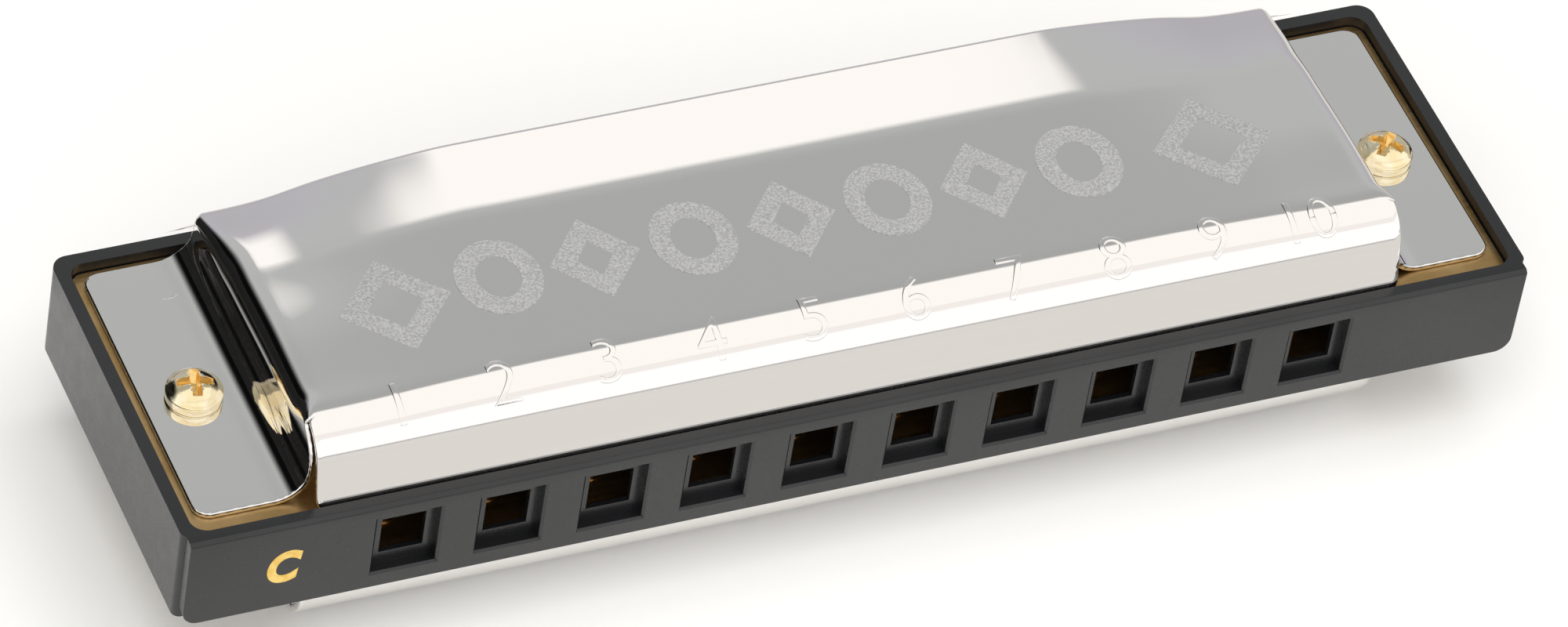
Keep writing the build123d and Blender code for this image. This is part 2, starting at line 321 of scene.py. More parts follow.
# Chrome plate blasted through a mask: a frosted sparkle. Real grit of 0.1 mm is drawn at 0.17 mm.
frosted, tree, shader = finish_named("grit_blasted_chrome", "#d6d6d5", 1.0, 0.5)
grain = pattern(tree, 0.17, detail=3.0)
tree.links.new(ramp(tree, grain, [(0.35, "#cccccc"), (0.65, "#ececec")]), shader.inputs["Base Color"])
relief(tree, shader, grain, 0.012)

# Injection moulded black ABS from a lightly spark eroded tool: dark, satin, with a fine skin.
abs_plastic, tree, shader = finish_named("moulded_black_abs", "#17181a", 0.0, 0.27, IOR=1.56)
tone = ramp(tree, pattern(tree, 9.0), [(0.3, "#151618"), (0.7, "#1b1c1e")])
tree.links.new(tone, shader.inputs["Base Color"])
uneven_gloss(tree, shader, pattern(tree, 1.2), 0.25, 0.3)
relief(tree, shader, pattern(tree, 0.2), 0.0015)

# Rolled cartridge brass sheet, dulled by handling: satin, with rolling lines along its length.
brass, tree, shader = finish_named("rolled_brass_sheet", "#c2a06c", 1.0, 0.36)
stain = ramp(tree, pattern(tree, 4.0, detail=4.0), [(0.3, "#b3925f"), (0.7, "#cbab79")])
tree.links.new(stain, shader.inputs["Base Color"])
rolling = pattern(tree, 0.2, (0.02, 1, 1))
uneven_gloss(tree, shader, rolling, 0.3, 0.44)
relief(tree, shader, rolling, 0.006)

# Spring brass, ground thin along the tongue: brighter than the plate, with scratches across.
spring_brass, tree, shader = finish_named("ground_spring_brass", "#d4b377", 1.0, 0.27)
scratches = pattern(tree, 0.18, (0.04, 1, 1))
tint = ramp(tree, pattern(tree, 2.5), [(0.3, "#c9a768"), (0.7, "#dcbd84")])
tree.links.new(tint, shader.inputs["Base Color"])
uneven_gloss(tree, shader, scratches, 0.2, 0.36)
relief(tree, shader, scratches, 0.008)

# Drawn brass wire, headed cold: smooth and a little redder.
rivet_brass, tree, shader = finish_named("headed_brass_wire", "#cfa667", 1.0, 0.24)
uneven_gloss(tree, shader, pattern(tree, 0.5), 0.18, 0.32)
relief(tree, shader, pattern(tree, 0.4), 0.01)

# Bright zinc plate on small machine screws: pale grey with a soft gloss.
zinc, tree, shader = finish_named("zinc_plated_steel", "#b9bcc1", 1.0, 0.26)
uneven_gloss(tree, shader, pattern(tree, 0.4), 0.2, 0.36)
relief(tree, shader, pattern(tree, 0.3), 0.006)

# Gold-coloured plate on a cold headed screw: a bright yellow mirror with tiny pits.
gold, tree, shader = finish_named("gold_plated_steel", "#f7e9c3", 1.0, 0.12)
warmth = ramp(tree, pattern(tree, 0.9), [(0.3, "#f3e2b4"), (0.7, "#faf0d2")])
tree.links.new(warmth, shader.inputs["Base Color"])
uneven_gloss(tree, shader, pattern(tree, 0.5), 0.09, 0.18)
relief(tree, shader, pattern(tree, 0.35), 0.012)

# The same plate in the cross recess, rougher where the punch has left it, with a deeper, more orange colour
# painted in as shade in the recess.
gold_recess_painted_shade, tree, shader = finish_named("punched_gold_recess_painted_shade", "#f3d08a", 0.9, 0.3)
uneven_gloss(tree, shader, pattern(tree, 0.3), 0.14, 0.28)
relief(tree, shader, pattern(tree, 0.25), 0.01)

# Hot-stamped gold foil: warm and opaque, a little patchy.
foil, tree, shader = finish_named("stamped_gold_foil", "#ecc766", 0.55, 0.34)
patches = ramp(tree, pattern(tree, 0.5, detail=3.0), [(0.3, "#e2b853"), (0.7, "#f0d07a")])
tree.links.new(patches, shader.inputs["Base Color"])
relief(tree, shader, pattern(tree, 0.2), 0.004)

# ---------------------------------------------------------------- comb, plates, screws and nuts

hand_over(copy_of("comb", "moulded_comb", 0.1), abs_plastic, "comb_plastic", "comb")
for side in ("top", "bottom"):
    plate = copy_of(f"{side}_reed_plate", f"{side}_plate", 0.04)
    hand_over(plate, brass, "plate_brass", f"{side}_reed_plate")
for side in ("left", "right"):
    nut = copy_of(f"cover_nut_{side}", f"{side}_nut", 0.12)
    hand_over(nut, gold, "screw_gold", f"cover_nut_{side}")

# A cover screw is lathed from its outline, then a cross recess is punched into its crown.
HEAD_OUTLINE = [(0.0, 1.65), (0.35, 1.645), (0.7, 1.6), (1.05, 1.51), (1.35, 1.37), (1.6, 1.19), (1.77, 1.0)]
HEAD_OUTLINE += [(1.84, 0.88), (1.93, 0.84), (1.99, 0.74), (2.0, 0.6), (2.0, 0.2), (1.97, 0.07), (1.88, 0.0)]
SHANK_RADIUS = 1.2
LATHE_STEPS = 64
CROSS_SPAN, CROSS_WIDTH, CROSS_DEPTH = 2.6, 0.68, 0.8
SCREW_EDGE = 0.035


def lathed(name, outline):
    """A closed shape turned about Z from its outline, which starts and ends on the axis."""
    shape = bmesh.new()
    loop = [shape.verts.new((radius, 0.0, height)) for radius, height in outline]
    edges = [shape.edges.new(pair) for pair in zip(loop[:-1], loop[1:])]
    bmesh.ops.spin(
        shape, geom=loop + edges, cent=(0, 0, 0), axis=(0, 0, 1), angle=2 * math.pi, steps=LATHE_STEPS
    )
    bmesh.ops.remove_doubles(shape, verts=shape.verts, dist=1e-4)
    bmesh.ops.recalc_face_normals(shape, faces=shape.faces)
    mesh = bpy.data.meshes.new(name)
    shape.to_mesh(mesh)
    shape.free()
    return mesh_object(name, mesh)


def cross_punch(name, crown):
    """The punch for a cross recess: arms that draw in and narrow towards its point."""
    levels = [(0.25, 1.12, 1.05), (0.0, 1.0, 1.0), (-0.45, 0.86, 0.8), (-CROSS_DEPTH, 0.56, 0.5)]
    vertices = []
    for rise, reach_share, width_share in levels:
        a, b = CROSS_SPAN / 2 * reach_share, CROSS_WIDTH / 2 * width_share
        ring = [(b, b), (b, a), (-b, a), (-b, b), (-a, b), (-a, -b)]
        ring += [(-b, -b), (-b, -a), (b, -a), (b, -b), (a, -b), (a, b)]
        vertices += [(x, y, crown + rise) for x, y in ring]
    count = 12
    faces = [tuple(range(count)), tuple(range((len(levels) - 1) * count, len(levels) * count))]
    for start in range(0, (len(levels) - 1) * count, count):
        for k in range(count):
            after = (k + 1) % count
            faces.append((start + k, start + after, start + count + after, start + count + k))
    punch = mesh_from(name, vertices, faces)
    shape = bmesh.new()
    shape.from_mesh(punch.data)
    bmesh.ops.recalc_face_normals(shape, faces=shape.faces)
    shape.to_mesh(punch.data)
    shape.free()
    return punch


for side, turn in (("left", -12.0), ("right", -44.0)):
    low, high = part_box(f"cover_screw_{side}")
    crown = HEAD_OUTLINE[0][1]
    bottom = (low.z - high.z) / MM + crown
    shank = [(SHANK_RADIUS, 0.0), (SHANK_RADIUS, bottom + 0.2), (SHANK_RADIUS - 0.2, bottom), (0.0, bottom)]
    screw = lathed(f"{side}_cover_screw", HEAD_OUTLINE + shank)
    screw.data.materials.append(gold)
    punch = cross_punch("punch", crown - 0.06)
    # The punch's faces carry the gold with painted recess shade into the cross recess.
    punch.data.materials.append(gold_recess_painted_shade)
    cut_away(screw, punch, materials="TRANSFER")
    # The screw is still in millimetres here, so the width is too.
    rounded_edges(screw, SCREW_EDGE / MM, angle=50, clamp=True)
    applied(screw)
    middle_of = Vector(((low.x + high.x) / 2, (low.y + high.y) / 2, high.z - crown * MM))
    screw.data.transform(
        Matrix.Translation(middle_of) @ Matrix.Rotation(math.radians(turn), 4, "Z") @ Matrix.Scale(MM, 4)
    )
    smoothed(screw)
    hand_over(screw, None, "screw_gold", f"cover_screw_{side}")

# ---------------------------------------------------------------- reeds

# Each reed is one strip: a wide root under its rivet, a narrow tongue, and a face ground away
# towards the middle of the tongue. The tree's origin is where the root meets the tongue.
reed_sizes = {
    "Root length": "Float",
    "Root width": "Float",
    "Tongue length": "Float",
    "Tongue width": "Float",
    "Thickness": "Float",
    "Ground away": "Float",
}
SHOULDER_SHARE = 0.22
tree, given, reed_inputs = geometry_tree("reed_strip", reed_sizes)
whole = add(tree, "ShaderNodeMath", {0: given["Root length"], 1: given["Tongue length"]}, operation="ADD")
block = add(
    tree,
    "GeometryNodeMeshCube",
    {"Size": (1.0, 1.0, 1.0), "Vertices X": 5, "Vertices Y": 90, "Vertices Z": 3},
).outputs["Mesh"]
where = add(tree, "ShaderNodeSeparateXYZ", {0: add(tree, "GeometryNodeInputPosition").outputs[0]}).outputs
share = add(tree, "ShaderNodeMath", {0: where[1], 1: 0.5}, operation="ADD")
from_root_end = add(tree, "ShaderNodeMath", {0: share, 1: whole}, operation="MULTIPLY")
along = add(tree, "ShaderNodeMath", {0: from_root_end, 1: given["Root length"]}, operation="SUBTRACT")
shoulder = add(tree, "ShaderNodeMath", {0: given["Tongue width"], 1: SHOULDER_SHARE}, operation="MULTIPLY")
before_shoulder = add(tree, "ShaderNodeMath", {0: shoulder, 1: -1.0}, operation="MULTIPLY")
width = add(
    tree,
    "ShaderNodeMapRange",
    {0: along, 1: before_shoulder, 2: shoulder, 3: given["Root width"], 4: given["Tongue width"]},
    interpolation_type="SMOOTHSTEP",
).outputs[0]
share = add(tree, "ShaderNodeMath", {0: along, 1: given["Tongue length"]}, operation="DIVIDE")
on_tongue = add(tree, "ShaderNodeClamp", {0: share})
half_wave = add(tree, "ShaderNodeMath", {0: on_tongue, 1: math.pi}, operation="MULTIPLY")
hollow = add(tree, "ShaderNodeMath", {0: half_wave}, operation="SINE")
ground = add(tree, "ShaderNodeMath", {0: hollow, 1: given["Ground away"]}, operation="MULTIPLY")
thickness = add(tree, "ShaderNodeMath", {0: given["Thickness"], 1: ground}, operation="SUBTRACT")
sideways = add(tree, "ShaderNodeMath", {0: where[0], 1: width}, operation="MULTIPLY")
below_top = add(tree, "ShaderNodeMath", {0: where[2], 1: 0.5}, operation="SUBTRACT")
below_top = add(tree, "ShaderNodeMath", {0: below_top, 1: thickness}, operation="MULTIPLY")
moved = add(tree, "ShaderNodeCombineXYZ", {0: sideways, 1: along, 2: below_top}).outputs[0]
strip = add(tree, "GeometryNodeSetPosition", {"Geometry": block, "Position": moved}).outputs[0]
end_tree(tree, strip, spring_brass)
reed_tree = tree

ROOT_LENGTH = 3.04
ROOT_GAP = 0.04
ROOT_WIDTH = 2.9
GROUND_AWAY = 0.09
BEND_SHARE = 0.35
rivet_places = {"blow": [], "draw": []}
for kind, way in (("blow", -1), ("draw", 1)):
    for number in HOLES:
        node = f"{kind}_reed_{number}"
        low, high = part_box(node)
        length = (high.y - low.y) / MM
        values = {
            "Root length": ROOT_LENGTH * MM,
            "Root width": ROOT_WIDTH * MM,
            "Tongue length": length * MM,
            "Tongue width": high.x - low.x,
            "Thickness": high.z - low.z,
            "Ground away": GROUND_AWAY * MM,
        }
        reed = mesh_object(f"{node}_strip", bpy.data.meshes.new(node))
        run_tree(reed, reed_tree, reed_inputs, values)
        root = Vector(((low.x + high.x) / 2, high.y if kind == "blow" else low.y, high.z))
        turn = Matrix.Diagonal((1.0, way, 1.0, 1.0))
        reed.data.transform(Matrix.Translation(root) @ turn)
        if way < 0:
            reed.data.flip_normals()
        smoothed(reed)
        end = root + Vector((0.0, way * BEND_SHARE * length * MM, 0.0))
        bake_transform(reed, "instrument", node, start=root, end=end)
        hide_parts(node, f"{kind}_reed_roots")
        rivet_places[kind].append((root.x, root.y - way * (ROOT_LENGTH + ROOT_GAP) / 2 * MM, 0.0))

# ---------------------------------------------------------------- rivets and reed plate screws

# A squashed ball whose lower half is pressed flat makes a domed head.
rivet_sizes = {
    "Head radius": "Float",
    "Upper face": "Float",
    "Upper head": "Float",
    "Lower face": "Float",
    "Lower head": "Float",
    "Seed": "Int",
}
RIVET_HEAD_RADIUS = 1.15
RIVET_HEAD_HEIGHT = 0.35
RIVET_TAIL_HEIGHT = 0.3
DOME_POWER = 0.7
tree, given, rivet_inputs = geometry_tree("rivet_heads", rivet_sizes)
heads = []
for face, height, way in (("Upper face", "Upper head", 1.0), ("Lower face", "Lower head", -1.0)):
    ball = add(tree, "GeometryNodeMeshUVSphere", {"Segments": 28, "Rings": 14, "Radius": 1.0}).outputs[0]
    spot = add(tree, "ShaderNodeSeparateXYZ", {0: add(tree, "GeometryNodeInputPosition").outputs[0]}).outputs
    upper_half = add(tree, "ShaderNodeMath", {0: spot[2], 1: 0.0}, operation="MAXIMUM")
    crown = add(tree, "ShaderNodeMath", {0: upper_half, 1: DOME_POWER}, operation="POWER")
    crown = add(tree, "ShaderNodeMath", {0: crown, 1: given[height]}, operation="MULTIPLY")
    dome = add(
        tree,
        "ShaderNodeCombineXYZ",
        {
            0: add(tree, "ShaderNodeMath", {0: spot[0], 1: given["Head radius"]}, operation="MULTIPLY"),
            1: add(tree, "ShaderNodeMath", {0: spot[1], 1: given["Head radius"]}, operation="MULTIPLY"),
            2: add(tree, "ShaderNodeMath", {0: crown, 1: way}, operation="MULTIPLY"),
        },
    ).outputs[0]
    head = add(tree, "GeometryNodeSetPosition", {"Geometry": ball, "Position": dome}).outputs[0]
    if way < 0:
        head = add(tree, "GeometryNodeFlipFaces", {0: head}).outputs[0]
    lift = add(tree, "ShaderNodeCombineXYZ", {2: given[face]}).outputs[0]
    points = add(tree, "GeometryNodeSetPosition", {"Geometry": given["Geometry"], "Offset": lift}).outputs[0]
    size = add(
        tree, "FunctionNodeRandomValue", {2: 0.96, 3: 1.0, "Seed": given["Seed"]}, data_type="FLOAT"
    ).outputs[1]
    placed = add(tree, "GeometryNodeInstanceOnPoints", {"Points": points, "Instance": head, "Scale": size})
    heads.append(placed.outputs[0])
both = add(tree, "GeometryNodeJoinGeometry")
for head in heads:
    tree.links.new(head, both.inputs[0])
end_tree(tree, both.outputs[0], rivet_brass)
rivet_tree = tree

REED_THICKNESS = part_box("blow_reed_1")[1].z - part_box("blow_reed_1")[0].z
rivet_faces = {
    "blow": (TOP_PLATE_FACE, RIVET_HEAD_HEIGHT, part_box("blow_reed_1")[0].z, RIVET_TAIL_HEIGHT),
    "draw": (
        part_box("bottom_reed_plate")[1].z,
        RIVET_TAIL_HEIGHT,
        BOTTOM_PLATE_FACE - REED_THICKNESS,
        RIVET_HEAD_HEIGHT,
    ),
}
for kind, (upper, upper_head, lower, lower_head) in rivet_faces.items():
    rivets = mesh_from(f"{kind}_rivet_row", rivet_places[kind], [])
    values = {
        "Head radius": RIVET_HEAD_RADIUS * MM,
        "Upper face": upper,
        "Upper head": upper_head * MM,
        "Lower face": lower,
        "Lower head": lower_head * MM,
        "Seed": 4,
    }
    run_tree(rivets, rivet_tree, rivet_inputs, values)
    hand_over(smoothed(rivets), None, "rivet_brass", f"{kind}_rivets")

# A pan head is lathed from its outline and sawn across. Each screw is stopped at its own turn.
PAN_OUTLINE = [(0.0, 0.6), (0.5, 0.585), (0.9, 0.52), (1.15, 0.4), (1.27, 0.24)]
PAN_OUTLINE += [(1.3, 0.1), (1.3, 0.0), (0.0, 0.0)]
SAW_LENGTH, SLOT_WIDTH, SLOT_DEPTH = 3.0, 0.4, 0.3
PLATE_SCREW_SPOTS = [(-30.0, 24.9), (0.0, 24.9), (30.0, 24.9), (-22.5, 4.6), (22.5, 4.6)]

pan_head = lathed("pan_head", PAN_OUTLINE)
saw_mesh = bpy.data.meshes.new("saw")
shape = bmesh.new()
saw_place = Matrix.Translation((0.0, 0.0, PAN_OUTLINE[0][1]))
saw_size = Matrix.Diagonal((SAW_LENGTH, SLOT_WIDTH, 2 * SLOT_DEPTH, 1.0))
bmesh.ops.create_cube(shape, size=1.0, matrix=saw_place @ saw_size)
shape.to_mesh(saw_mesh)
shape.free()
cut_away(pan_head, mesh_object("saw", saw_mesh))
pan_head.data.transform(Matrix.Scale(MM, 4))

tree, given, screw_inputs = geometry_tree("slotted_screws", {"Screw": "Object", "Seed": "Int"})
one_screw = add(tree, "GeometryNodeObjectInfo", {"Object": given["Screw"]}).outputs["Geometry"]
turn = add(
    tree, "FunctionNodeRandomValue", {2: 0.0, 3: math.pi, "Seed": given["Seed"]}, data_type="FLOAT"
).outputs[1]
spin = add(tree, "ShaderNodeCombineXYZ", {2: turn}).outputs[0]
screws = add(
    tree,
    "GeometryNodeInstanceOnPoints",
    {"Points": given["Geometry"], "Instance": one_screw, "Rotation": spin},
).outputs[0]
end_tree(tree, screws, zinc)

for side, face, way in (("top", TOP_PLATE_FACE, 1.0), ("bottom", BOTTOM_PLATE_FACE, -1.0)):
    spots = [place(x, depth, 0.0).xy.to_3d() for x, depth in PLATE_SCREW_SPOTS]
    row = mesh_from(f"{side}_plate_screw_set", spots, [])
    run_tree(row, tree, screw_inputs, {"Screw": pan_head, "Seed": 7})
    row.data.transform(Matrix.Translation((0.0, 0.0, face)) @ Matrix.Diagonal((1.0, 1.0, way, 1.0)))
    if way < 0:
        row.data.flip_normals()
    hand_over(smoothed(row), None, "screw_steel", f"{side}_plate_screws")
bpy.data.objects.remove(pan_head)

# ---------------------------------------------------------------- covers

SHEET = 0.4
END_FACE = 40.3
WALL_EDGE = 40.05
BEND_RADIUS = 2.2
FLANGE_HEIGHT = PLATE_HEIGHT + SHEET
FLANGE_REACH = 48.0
FLANGE_FRONT = 2.8
FLANGE_REAR = 26.15
FLANGE_CORNER = 1.2
CORNER_TOP_DEPTH = 4.2
SHOULDER = (5.5, 9.62)
SHOULDER_ARC = (5.71, 5.89, 3.73)
WALL_FOOT = (1.1, PLATE_HEIGHT)
FOOT_FLARE = ((1.24, 3.5), (1.68, 4.65))
WALL_TOP = (2.05, 6.6)
RIDGE = (18.8, 10.3)
REAR_EDGE = (25.6, 9.7)

# How much lower the top lies at its ends than in the middle, by depth, and how that drop
# grows towards the ends, by distance from the middle.
DROP_BY_DEPTH = [(2.2, 0.0), (5.5, 0.34), (12.0, 0.51), (18.0, 1.11), (22.3, 1.29), (25.6, 2.1), (26.5, 2.3)]
DROP_BY_REACH = [(0, 0.0), (23, 0.0), (28.2, 0.24), (32.4, 0.54)]
DROP_BY_REACH += [(34.2, 0.79), (35.5, 0.91), (38.5, 1.0), (41, 1.0)]
END_ROUND_BY_DEPTH = [(4.2, 0.35), (6.4, 1.8), (20.5, 1.8), (25.6, 0.6)]


def softened(table, width):
    """A function through the table's points with its corners rounded over width."""
    places_of, values_of = zip(*table)
    fine = np.linspace(places_of[0] - 3 * width, places_of[-1] + 3 * width, 1200)
    raw = np.interp(fine, places_of, values_of)
    step = fine[1] - fine[0]
    reach = np.arange(-int(2.5 * width / step), int(2.5 * width / step) + 1) * step
    weights = np.exp(-0.5 * (reach / (width / 2)) ** 2)
    weights /= weights.sum()
    padded = np.pad(raw, len(reach) // 2, mode="edge")
    smooth = np.convolve(padded, weights, mode="valid")
    return lambda value: float(np.interp(value, fine, smooth))


drop_at_depth = softened(DROP_BY_DEPTH, 3.0)
drop_share = softened(DROP_BY_REACH, 2.2)
end_round_at = softened(END_ROUND_BY_DEPTH, 0.8)


def middle_profile():
    """The cover's outline over the middle holes, from the front foot to the rear edge."""
    wall = [WALL_FOOT, *FOOT_FLARE, WALL_TOP]
    wall_depth = softened([(height, depth) for depth, height in wall], 0.5)
    outline = [(wall_depth(height), height) for height in np.linspace(PLATE_HEIGHT, WALL_TOP[1], 16)]
    outline[-1] = WALL_TOP
    centre_depth, centre_height, radius = SHOULDER_ARC
    start = math.atan2(WALL_TOP[1] - centre_height, WALL_TOP[0] - centre_depth)
    stop = math.atan2(SHOULDER[1] - centre_height, SHOULDER[0] - centre_depth)
    for share in np.linspace(0.0, 1.0, 22)[1:]:
        angle = start + share * (stop - start)
        outline.append((centre_depth + radius * math.cos(angle), centre_height + radius * math.sin(angle)))
    face = [SHOULDER, RIDGE, REAR_EDGE, (REAR_EDGE[0] + 3.0, REAR_EDGE[1] - 0.265)]
    height_at = softened(face, 1.3)
    slope = (RIDGE[1] - SHOULDER[1]) / (RIDGE[0] - SHOULDER[0])
    for depth in np.linspace(SHOULDER[0], REAR_EDGE[0], 58)[1:]:
        plain = SHOULDER[1] + slope * (depth - SHOULDER[0])
        outline.append((depth, plain if depth < SHOULDER[0] + 5.0 else height_at(depth)))
    # The rear edge is rolled down a little.
    roll = outline[-1]
    for run, fall in ((0.16, 0.035), (0.3, 0.11), (0.4, 0.22)):
        outline.append((roll[0] + run, roll[1] - fall))
    return np.array(outline)


profile = middle_profile()
lengths = np.concatenate([[0.0], np.cumsum(np.hypot(*np.diff(profile, axis=0).T))])


def top_point(x, along):
    """A point on the cover's outer face, a given length along its outline from the front foot."""
    depth = float(np.interp(along, lengths, profile[:, 0]))
    height = float(np.interp(along, lengths, profile[:, 1]))
    return Vector((x, depth, height - drop_share(abs(x)) * drop_at_depth(depth)))


def top_normal(x, along):
    across = top_point(x + 0.05, along) - top_point(x - 0.05, along)
    forwards = top_point(x, along + 0.05) - top_point(x, along - 0.05)
    return across.cross(forwards).normalized()


def wall_reach(depth, height):
    """How far the top sheet runs to each side on one row of the outline."""
    if depth < CORNER_TOP_DEPTH:
        short = max(0.0, FLANGE_CORNER - (height - PLATE_HEIGHT))
        return WALL_EDGE - (FLANGE_CORNER - math.sqrt(FLANGE_CORNER**2 - short**2))
    return END_FACE - end_round_at(depth)


def gap_edge(height):
    """Depth of the end sheet's front edge, which sweeps back to meet the shoulder."""
    share = min(1.0, max(0.0, (height - 6.3) / (8.45 - 6.3)))
    return FLANGE_FRONT + (CORNER_TOP_DEPTH - FLANGE_FRONT) * share**2.2


def rear_lean(height):
    """Depth of the end sheet's rear edge, which leans forwards towards its top."""
    return float(np.interp(height, [3.4, 5.3, 7.2, 8.0], [26.3, 25.95, 25.6, 25.6]))


def cover_mesh():
    """The cover's outer face as one sheet: the top and the two ends with their flanges."""
    vertices, faces = [], []
    shares = np.concatenate([np.linspace(0, 0.55, 12)[:-1], np.linspace(0.55, 1.0, 40)])
    columns = np.concatenate([-shares[::-1], shares[1:]])
    for row, (depth, height) in enumerate(profile):
        reach = wall_reach(depth, height)
        for share in columns:
            vertices.append(top_point(share * reach, lengths[row]))
    count = len(columns)
    for row in range(len(profile) - 1):
        for column in range(count - 1):
            corner = row * count + column
            faces.append((corner, corner + 1, corner + count + 1, corner + count))
    end_rows = [row for row, (depth, _) in enumerate(profile) if depth >= CORNER_TOP_DEPTH]
    first, last = profile[end_rows[0]][0], profile[end_rows[-1]][0]
    edge_heights = {row: top_point(wall_reach(*profile[row]), lengths[row]).z for row in end_rows}
    for end in (-1, 1):
        start = len(vertices)
        rings = 0
        front_height = edge_heights[end_rows[0]]
        rear_height = edge_heights[end_rows[-1]]
        steps = [("bend", t) for t in np.linspace(0, 1, 11)]
        steps += [("wall", t) for t in np.linspace(0, 1, 13)[1:]]
        steps += [("foot", t) for t in np.linspace(0, 1, 13)[1:]]
        steps += [("flange", t) for t in np.linspace(0, 1, 9)[1:]]
        steps += [("corner", t) for t in np.linspace(0, 1, 9)[1:]]
        for step, t in steps:
            for row in end_rows:
                depth_top = profile[row][0]
                u = (depth_top - first) / (last - first)
                r = end_round_at(depth_top)
                low = FLANGE_HEIGHT + BEND_RADIUS
                bend_end = edge_heights[row] - r
                front_bend_end = front_height - end_round_at(first)
                rear_bend_end = rear_height - end_round_at(last)
                corner_in = 0.0
                if step == "bend":
                    angle = t * math.pi / 2
                    x = END_FACE - r + r * math.sin(angle)
                    z = edge_heights[row] - r + r * math.cos(angle)
                    front_z = front_height
                    rear_z = rear_height
                elif step == "wall":
                    x = END_FACE
                    z = bend_end + t * (low - bend_end)
                    front_z = front_bend_end + t * (low - front_bend_end)
                    rear_z = rear_bend_end + t * (low - rear_bend_end)
                elif step == "foot":
                    angle = t * math.pi / 2
                    x = END_FACE + BEND_RADIUS * (1 - math.cos(angle))
                    z = low - BEND_RADIUS * math.sin(angle)
                    front_z = rear_z = z
                elif step == "flange":
                    x = END_FACE + BEND_RADIUS + t * (FLANGE_REACH - FLANGE_CORNER - END_FACE - BEND_RADIUS)
                    z = front_z = rear_z = FLANGE_HEIGHT
                else:
                    angle = t * math.pi / 2
                    x = FLANGE_REACH - FLANGE_CORNER * (1 - math.sin(angle))
                    corner_in = FLANGE_CORNER * (1 - math.cos(angle))
                    z = front_z = rear_z = FLANGE_HEIGHT
                if step == "bend":
                    near, far = first, last + (rear_lean(7.2) - last) * t
                elif step == "wall":
                    near = gap_edge(front_z)
                    far = rear_lean(rear_z)
                elif step == "foot":
                    near = gap_edge(front_z)
                    far = rear_lean(rear_z) + (FLANGE_REAR - rear_lean(rear_z)) * t**2
                else:
                    near, far = FLANGE_FRONT + corner_in, FLANGE_REAR - corner_in
                depth = near + u * (far - near)
                vertices.append(Vector((end * x, depth, z)))
            rings += 1
        size = len(end_rows)
        for ring in range(rings - 1):
            for spot_on in range(size - 1):
                corner = start + ring * size + spot_on
                square = (corner, corner + 1, corner + size + 1, corner + size)
                faces.append(square if end < 0 else square[::-1])
    return vertices, faces


def sheet_cover(side, name):
    """A cover of pressed sheet. side is +1 above the comb and -1 below it."""
    vertices, faces = cover_mesh()
    made = mesh_from(name, [place(v.x, v.y, side * v.z) for v in vertices], faces)
    shape = bmesh.new()
    shape.from_mesh(made.data)
    bmesh.ops.remove_doubles(shape, verts=shape.verts, dist=0.01 * MM)
    bmesh.ops.recalc_face_normals(shape, faces=shape.faces)
    highest = max(shape.faces, key=lambda f: side * f.calc_center_median().z)
    if highest.normal.z * side < 0:
        bmesh.ops.reverse_faces(shape, faces=shape.faces)
    shape.to_mesh(made.data)
    shape.free()
    made.data.shade_smooth()
    wall = made.modifiers.new("sheet", "SOLIDIFY")
    wall.thickness = SHEET * MM
    wall.offset = -1.0
    wall.use_even_offset = True
    applied(made)
    rounded_edges(made, 0.09, angle=60, segments=3)
    applied(made)
    smoothed(made, 50)
    return hand_over(made, chrome, "cover_chrome", f"{'top' if side > 0 else 'bottom'}_cover")


top_sheet = sheet_cover(1, "top_cover_sheet")
sheet_cover(-1, "bottom_cover_sheet")

# ---------------------------------------------------------------- hole numbers and key letter


def lettering(name, text, size, thicken=0.0, slant=0.0, thickness=0.1, edge=0.05):
    """Text as a mesh about its own middle, in millimetres, lying in the XY plane."""
    curve = bpy.data.curves.new(name, "FONT")
    curve.body = text
    curve.size = size
    curve.align_x = "CENTER"
    curve.offset = thicken
    curve.shear = slant
    curve.extrude = thickness
    curve.bevel_depth = edge
    curve.bevel_resolution = 2
    curve.resolution_u = 10
    typed = bpy.data.objects.new(name, curve)
    bpy.context.scene.collection.objects.link(typed)
    bpy.context.view_layer.update()
    mesh = bpy.data.meshes.new_from_object(typed.evaluated_get(bpy.context.evaluated_depsgraph_get()))
    bpy.data.objects.remove(typed)
    corners = np.array([v.co for v in mesh.vertices])
    middle = (corners.min(0) + corners.max(0)) / 2
    mesh.transform(Matrix.Translation((-middle[0], -middle[1], 0.0)))
    return mesh


NUMBER_SIZE = 4.7
NUMBER_HEIGHT = 0.09
NUMBER_THICKNESS, NUMBER_EDGE = 0.03, 0.1
NUMBER_MIDDLE = (4.15, 9.05)
middle_along = float(lengths[np.argmin(np.hypot(*(profile - np.array(NUMBER_MIDDLE)).T))])
numbers = bmesh.new()
for number in HOLES:
    mesh = lettering(
        "number", str(number), NUMBER_SIZE, thicken=-0.1, thickness=NUMBER_THICKNESS, edge=NUMBER_EDGE
    )
    shape = bmesh.new()
    shape.from_mesh(mesh)
    bmesh.ops.remove_doubles(shape, verts=shape.verts, dist=0.001)
    for cut in np.arange(-2.0, 2.01, 0.2):
        everything = shape.verts[:] + shape.edges[:] + shape.faces[:]
        bmesh.ops.bisect_plane(shape, geom=everything, plane_co=(0, cut, 0), plane_no=(0, 1, 0))
    for vertex in shape.verts:
        u, v, w = vertex.co
        x = hole_x(number) + u
        along = middle_along + v
        on_cover = top_point(x, along)
        raised_share = w / (NUMBER_THICKNESS + NUMBER_EDGE)
        spot_now = on_cover + top_normal(x, along) * (raised_share * NUMBER_HEIGHT)
        vertex.co = place(*spot_now)
    shape.to_mesh(mesh)
    shape.free()
    numbers.from_mesh(mesh)
    bpy.data.meshes.remove(mesh)
raised = bpy.data.meshes.new("hole_numbers")
numbers.to_mesh(raised)
numbers.free()
